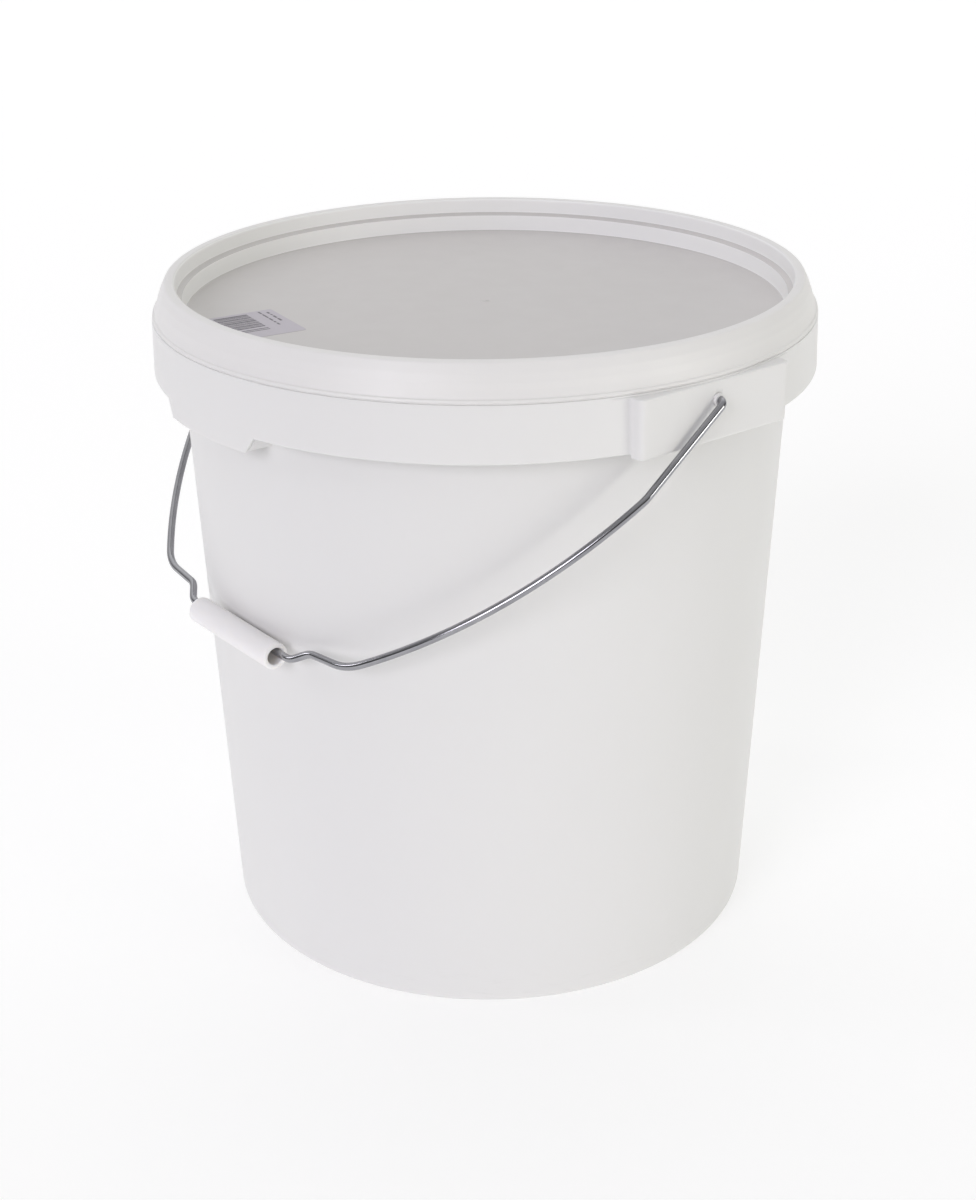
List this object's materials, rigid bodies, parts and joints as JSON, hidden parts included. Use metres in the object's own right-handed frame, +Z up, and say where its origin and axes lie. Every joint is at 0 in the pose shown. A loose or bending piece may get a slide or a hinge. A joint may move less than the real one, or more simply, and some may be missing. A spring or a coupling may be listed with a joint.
{
  "type": "plastic fermenting bucket",
  "caption": "Round tapered white plastic fermenting bucket with a collar, press-on recessed lid, wire bail and tube grip.",
  "frame": {"origin": "middle of the face the bucket stands on", "axes": "+Z up along the bucket's axis; the bail's pins lie along X; the bail hangs on the -Y side"},
  "size_m": [0.3664, 0.3518, 0.3621],
  "materials": {
    "bucket_plastic": "smooth white moulded polypropylene, satin",
    "lid_plastic": "smooth white moulded polypropylene, satin",
    "label_paper": "coated paper sticker with printed grey bars",
    "galvanised_wire": "bright zinc-plated drawn wire",
    "grip_plastic": "plain white moulded tube, satin"
  },
  "bodies": {
    "bucket": {"bucket": "bucket_plastic"},
    "lid": {"lid": "lid_plastic", "label": "label_paper"},
    "bail": {"bail_wire": "galvanised_wire"},
    "grip": {"grip": "grip_plastic"}
  },
  "joints": [
    {"name": "bail_swing", "type": "hinge", "parent": "bucket", "child": "bail", "pos_m": [0, 0, 0.334], "axis": [-1, 0, 0], "range_deg": [0, 259.3]},
    {"name": "grip_spin", "type": "hinge", "parent": "bail", "child": "grip", "pos_m": [0, -0.16419, 0.19793], "axis": [1, 0, 0], "continuous": true},
    {"name": "lid_lift", "type": "slide", "parent": "bucket", "child": "lid", "axis": [0, 0, 1], "range_m": [0, 0.12]}
  ]
}
